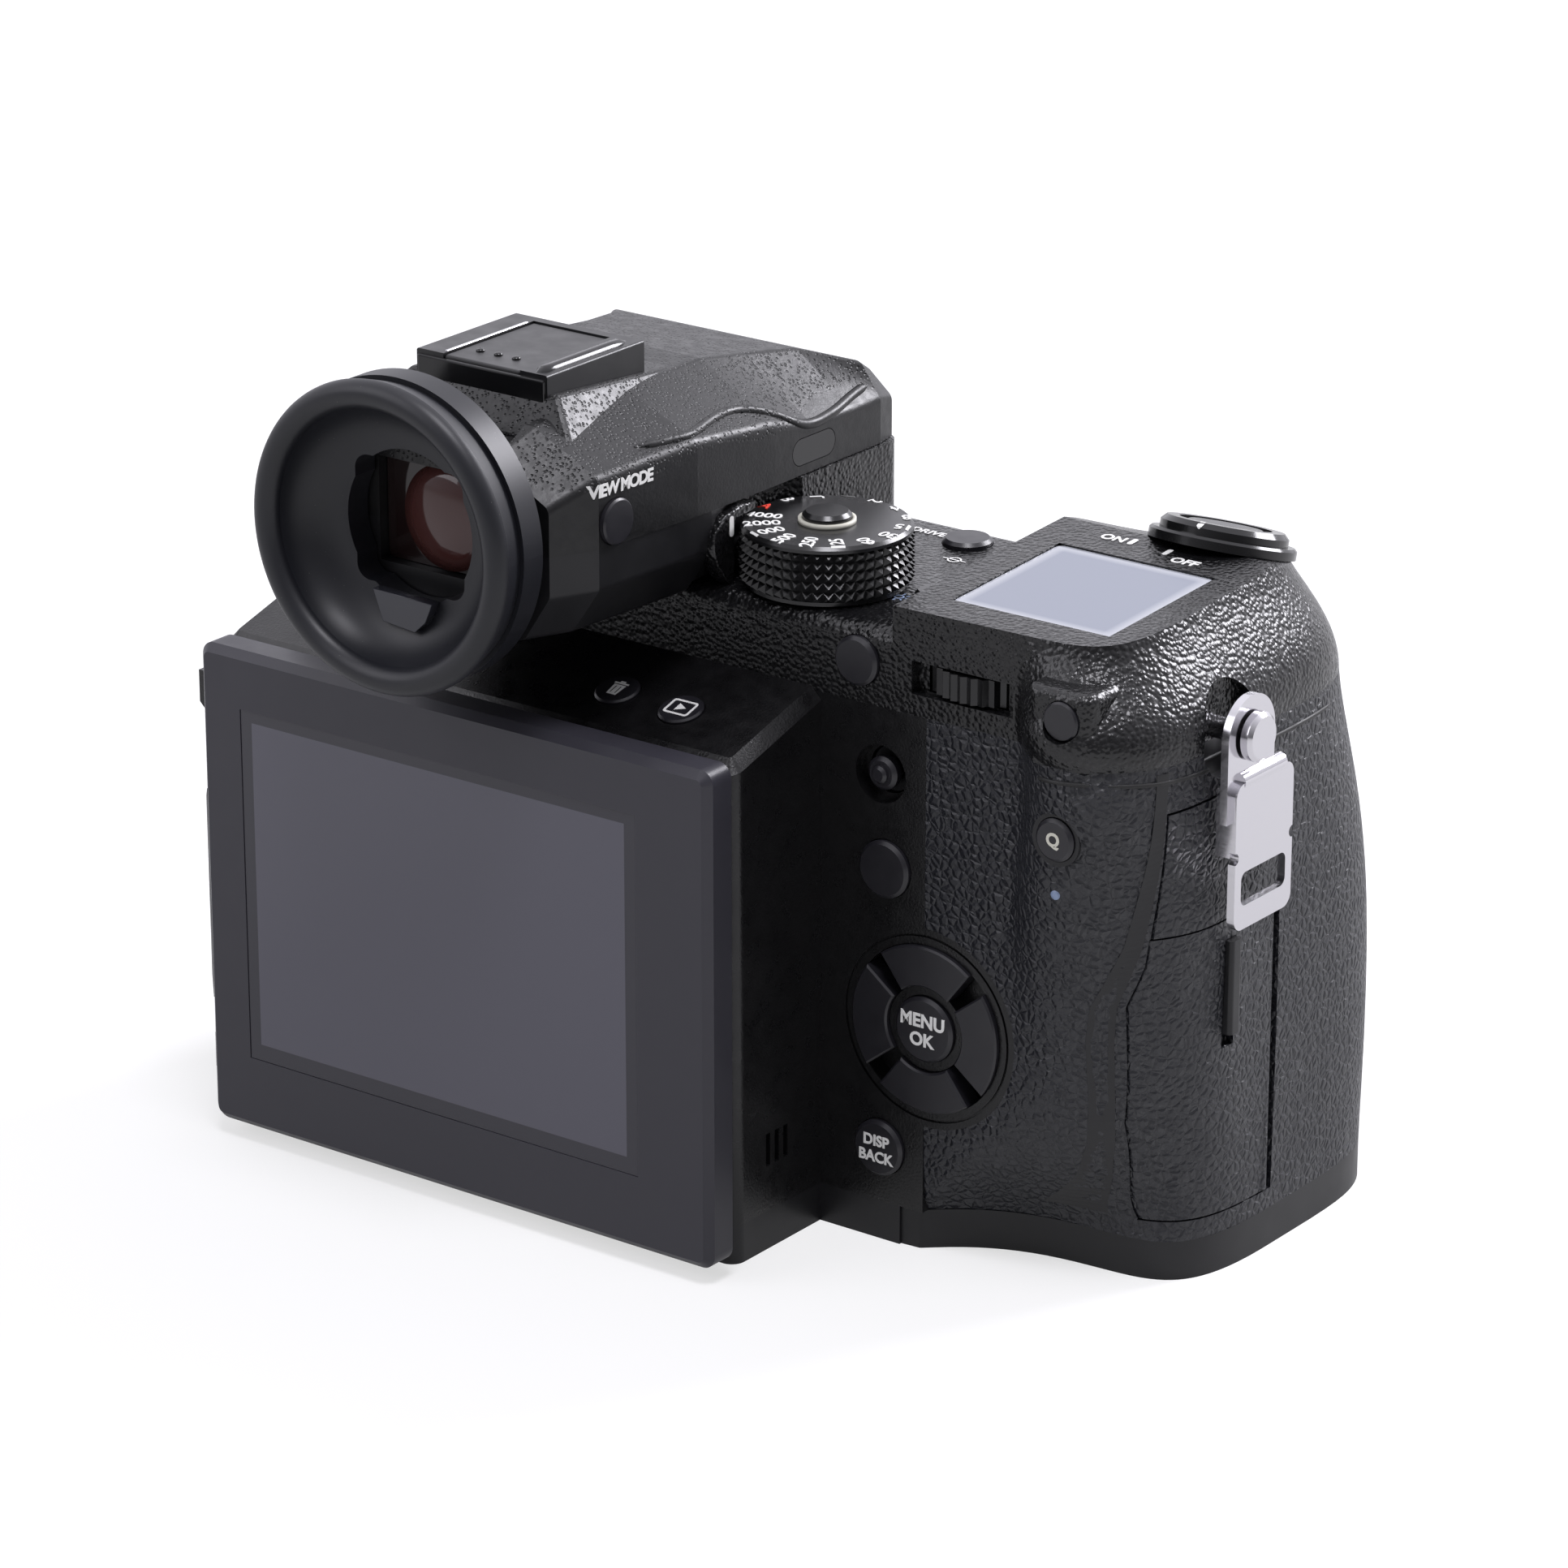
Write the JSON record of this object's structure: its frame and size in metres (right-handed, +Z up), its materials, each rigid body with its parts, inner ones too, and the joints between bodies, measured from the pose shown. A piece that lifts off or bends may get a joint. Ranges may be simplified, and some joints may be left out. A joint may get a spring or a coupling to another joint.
{
  "type": "medium format digital camera",
  "caption": "Mirrorless medium format camera body with a deep grip, a detachable viewfinder, a three way tilting screen and top dials.",
  "frame": {"origin": "centre of the tripod socket's mouth, under the lens axis", "axes": "+X to the grip side, +Y along the lens axis to the subject, +Z up"},
  "size_m": [0.1559, 0.1049, 0.1188],
  "materials": {
    "body_paint": "satin",
    "crinkle_paint": "satin",
    "satin_black": "satin",
    "leather_rubber": "matte",
    "soft_rubber": "matte",
    "button_black": "satin",
    "dial_metal": "satin",
    "hinge_metal": "satin",
    "shoe_metal": "matte",
    "steel": "polished",
    "bright_metal": "satin",
    "dark_parts": "matte",
    "circuit_board": "satin",
    "sensor_glass": "gloss",
    "display_glass": "gloss",
    "eyepiece_glass": "gloss"
  },
  "bodies": {
    "camera_body": {"front_casting": "body_paint", "rear_cover": "body_paint", "top_cover": "crinkle_paint", "base_plate": "satin_black", "screen_housing": "satin_black", "grip_shell": "body_paint", "leather_covering": "leather_rubber", "tripod_bush": "steel", "lens_mount_ring": "bright_metal", "lens_contacts": "dark_parts", "shutter_unit": "dark_parts", "image_sensor": "sensor_glass", "main_board": "circuit_board", "battery": "dark_parts", "card_slots": "dark_parts", "connector_panel": "dark_parts", "top_display": "display_glass", "strap_studs": "steel"},
    "viewfinder": {"viewfinder_cover": "crinkle_paint", "viewfinder_base": "satin_black", "hot_shoe": "shoe_metal", "eyecup": "soft_rubber", "eyepiece_lens": "eyepiece_glass"},
    "screen": {"screen_frame": "satin_black", "screen_glass": "display_glass"},
    "speed_dial_body": {"speed_dial": "dial_metal"},
    "speed_dial_lock_body": {"speed_dial_lock": "dial_metal"},
    "iso_dial_body": {"iso_dial": "dial_metal"},
    "iso_dial_lock_body": {"iso_dial_lock": "dial_metal"},
    "drive_button_body": {"drive_button": "button_black"},
    "lamp_button_body": {"lamp_button": "button_black"},
    "power_lever_body": {"power_lever": "dial_metal"},
    "shutter_button_body": {"shutter_button": "dial_metal"},
    "front_command_dial_body": {"front_command_dial": "dial_metal"},
    "rear_command_dial_body": {"rear_command_dial": "dial_metal"},
    "exposure_lock_button_body": {"exposure_lock_button": "button_black"},
    "focus_gimbal_body": {"focus_gimbal": "dark_parts"},
    "focus_stick_body": {"focus_stick": "button_black"},
    "autofocus_button_body": {"autofocus_button": "button_black"},
    "up_key_body": {"up_key": "button_black"},
    "down_key_body": {"down_key": "button_black"},
    "left_key_body": {"left_key": "button_black"},
    "right_key_body": {"right_key": "button_black"},
    "menu_button_body": {"menu_button": "button_black"},
    "back_button_body": {"back_button": "button_black"},
    "quick_button_body": {"quick_button": "button_black"},
    "thumb_button_body": {"thumb_button": "button_black"},
    "delete_button_body": {"delete_button": "button_black"},
    "playback_button_body": {"playback_button": "button_black"},
    "lens_release_button_body": {"lens_release_button": "button_black"},
    "screen_side_frame_body": {"screen_side_frame": "hinge_metal"},
    "screen_tilt_arm_body": {"screen_tilt_arm": "hinge_metal"},
    "card_door_body": {"card_door": "leather_rubber"},
    "card_latch_body": {"card_latch": "satin_black"},
    "battery_door_body": {"battery_door": "satin_black"},
    "connector_door_body": {"connector_door": "leather_rubber"},
    "strap_clip_right_body": {"strap_clip_right": "steel"},
    "strap_clip_left_body": {"strap_clip_left": "steel"},
    "view_mode_button_body": {"view_mode_button": "button_black"},
    "viewfinder_release_body": {"viewfinder_release": "button_black"}
  },
  "joints": [
    {"name": "screen_swing_out", "type": "hinge", "parent": "camera_body", "child": "screen_side_frame_body", "pos_m": [0.0388, -0.0386, 0.036], "axis": [0, 0, 1], "range_deg": [0, 60]},
    {"name": "screen_tilt_down", "type": "hinge", "parent": "screen_side_frame_body", "child": "screen_tilt_arm_body", "pos_m": [0, -0.0411, 0.0042], "axis": [1, 0, 0], "range_deg": [0, 45]},
    {"name": "screen_tilt_up", "type": "hinge", "parent": "screen_tilt_arm_body", "child": "screen", "pos_m": [0, -0.0411, 0.07], "axis": [-1, 0, 0], "range_deg": [0, 90]},
    {"name": "viewfinder_slide", "type": "slide", "parent": "camera_body", "child": "viewfinder", "axis": [0, -1, 0], "range_m": [0, 0.03]},
    {"name": "card_door_open", "type": "hinge", "parent": "camera_body", "child": "card_door_body", "pos_m": [0.0933, 0.0068, 0.03], "axis": [0, 0, 1], "range_deg": [0, 95]},
    {"name": "card_latch_slide", "type": "slide", "parent": "card_door_body", "child": "card_latch_body", "axis": [0, 0, -1], "range_m": [0, 0.002], "stiffness_N_per_m": 150},
    {"name": "battery_door_open", "type": "hinge", "parent": "camera_body", "child": "battery_door_body", "pos_m": [-0.0476, -0.0305, 0.0096], "axis": [0, -1, 0], "range_deg": [0, 95]},
    {"name": "connector_door_open", "type": "hinge", "parent": "camera_body", "child": "connector_door_body", "pos_m": [-0.0499, 0.0114, 0.032], "axis": [0, 0, -1], "range_deg": [0, 100]},
    {"name": "strap_clip_right_swing", "type": "hinge", "parent": "camera_body", "child": "strap_clip_right_body", "pos_m": [0.097, -0.0046, 0.0766], "axis": [1, 0, 0], "range_deg": [-70, 70]},
    {"name": "strap_clip_left_swing", "type": "hinge", "parent": "camera_body", "child": "strap_clip_left_body", "pos_m": [-0.0535, -0.0046, 0.08], "axis": [1, 0, 0], "range_deg": [-70, 70]},
    {"name": "power_lever_turn", "type": "hinge", "parent": "camera_body", "child": "power_lever_body", "pos_m": [0.0742, 0.024, 0.08928], "axis": [0, 0.2924, 0.9563], "range_deg": [0, 30]},
    {"name": "speed_dial_turn", "type": "hinge", "parent": "camera_body", "child": "speed_dial_body", "pos_m": [0.0348, -0.01, 0.086], "axis": [0, 0, 1], "continuous": true},
    {"name": "iso_dial_turn", "type": "hinge", "parent": "camera_body", "child": "iso_dial_body", "pos_m": [-0.0376, -0.003, 0.086], "axis": [0, 0, 1], "continuous": true},
    {"name": "front_command_dial_turn", "type": "hinge", "parent": "camera_body", "child": "front_command_dial_body", "pos_m": [0.074, 0.0294, 0.0786], "axis": [0, 0, 1], "continuous": true},
    {"name": "rear_command_dial_turn", "type": "hinge", "parent": "camera_body", "child": "rear_command_dial_body", "pos_m": [0.06425, -0.0123, 0.08015], "axis": [0, 0, 1], "continuous": true},
    {"name": "focus_gimbal_tilt", "type": "hinge", "parent": "camera_body", "child": "focus_gimbal_body", "pos_m": [0.0515, -0.01745, 0.0658], "axis": [1, 0, 0], "range_deg": [-8, 8], "stiffness_Nm_per_rad": 0.004},
    {"name": "focus_stick_swing", "type": "hinge", "parent": "focus_gimbal_body", "child": "focus_stick_body", "pos_m": [0.0515, -0.01745, 0.0658], "axis": [0, 0, 1], "range_deg": [-8, 8], "stiffness_Nm_per_rad": 0.004},
    {"name": "shutter_button_press", "type": "slide", "parent": "camera_body", "child": "shutter_button_body", "axis": [0, -0.2924, -0.9563], "range_m": [0, 0.0012], "stiffness_N_per_m": 312.5},
    {"name": "speed_dial_lock_press", "type": "slide", "parent": "speed_dial_body", "child": "speed_dial_lock_body", "axis": [0, 0, -1], "range_m": [0, 0.0006], "stiffness_N_per_m": 625},
    {"name": "iso_dial_lock_press", "type": "slide", "parent": "iso_dial_body", "child": "iso_dial_lock_body", "axis": [0, 0, -1], "range_m": [0, 0.0006], "stiffness_N_per_m": 625},
    {"name": "drive_button_press", "type": "slide", "parent": "camera_body", "child": "drive_button_body", "axis": [0, 0, -1], "range_m": [0, 0.0006], "stiffness_N_per_m": 833.3},
    {"name": "lamp_button_press", "type": "slide", "parent": "camera_body", "child": "lamp_button_body", "axis": [0, 0, -1], "range_m": [0, 0.0006], "stiffness_N_per_m": 833.3},
    {"name": "exposure_lock_button_press", "type": "slide", "parent": "camera_body", "child": "exposure_lock_button_body", "axis": [0, 1, 0], "range_m": [0, 0.0006], "stiffness_N_per_m": 833.3},
    {"name": "autofocus_button_press", "type": "slide", "parent": "camera_body", "child": "autofocus_button_body", "axis": [0, 1, 0], "range_m": [0, 0.0006], "stiffness_N_per_m": 833.3},
    {"name": "menu_button_press", "type": "slide", "parent": "camera_body", "child": "menu_button_body", "axis": [0, 1, 0], "range_m": [0, 0.0006], "stiffness_N_per_m": 833.3},
    {"name": "back_button_press", "type": "slide", "parent": "camera_body", "child": "back_button_body", "axis": [0, 1, 0], "range_m": [0, 0.0006], "stiffness_N_per_m": 833.3},
    {"name": "quick_button_press", "type": "slide", "parent": "camera_body", "child": "quick_button_body", "axis": [0, 1, 0], "range_m": [0, 0.0006], "stiffness_N_per_m": 833.3},
    {"name": "thumb_button_press", "type": "slide", "parent": "camera_body", "child": "thumb_button_body", "axis": [0, 1, 0], "range_m": [0, 0.0006], "stiffness_N_per_m": 833.3},
    {"name": "up_key_press", "type": "slide", "parent": "camera_body", "child": "up_key_body", "axis": [0, 1, 0], "range_m": [0, 0.0005], "stiffness_N_per_m": 1000},
    {"name": "down_key_press", "type": "slide", "parent": "camera_body", "child": "down_key_body", "axis": [0, 1, 0], "range_m": [0, 0.0005], "stiffness_N_per_m": 1000},
    {"name": "left_key_press", "type": "slide", "parent": "camera_body", "child": "left_key_body", "axis": [0, 1, 0], "range_m": [0, 0.0005], "stiffness_N_per_m": 1000},
    {"name": "right_key_press", "type": "slide", "parent": "camera_body", "child": "right_key_body", "axis": [0, 1, 0], "range_m": [0, 0.0005], "stiffness_N_per_m": 1000},
    {"name": "delete_button_press", "type": "slide", "parent": "camera_body", "child": "delete_button_body", "axis": [0, 0.2747, -0.9615], "range_m": [0, 0.0006], "stiffness_N_per_m": 833.3},
    {"name": "playback_button_press", "type": "slide", "parent": "camera_body", "child": "playback_button_body", "axis": [0, 0.2747, -0.9615], "range_m": [0, 0.0006], "stiffness_N_per_m": 833.3},
    {"name": "lens_release_button_press", "type": "slide", "parent": "camera_body", "child": "lens_release_button_body", "axis": [0, -1, 0], "range_m": [0, 0.0006], "stiffness_N_per_m": 1250},
    {"name": "view_mode_button_press", "type": "slide", "parent": "viewfinder", "child": "view_mode_button_body", "axis": [-1, 0, 0], "range_m": [0, 0.0006], "stiffness_N_per_m": 833.3},
    {"name": "viewfinder_release_press", "type": "slide", "parent": "viewfinder", "child": "viewfinder_release_body", "axis": [-1, 0, 0], "range_m": [0, 0.0006], "stiffness_N_per_m": 1250}
  ]
}
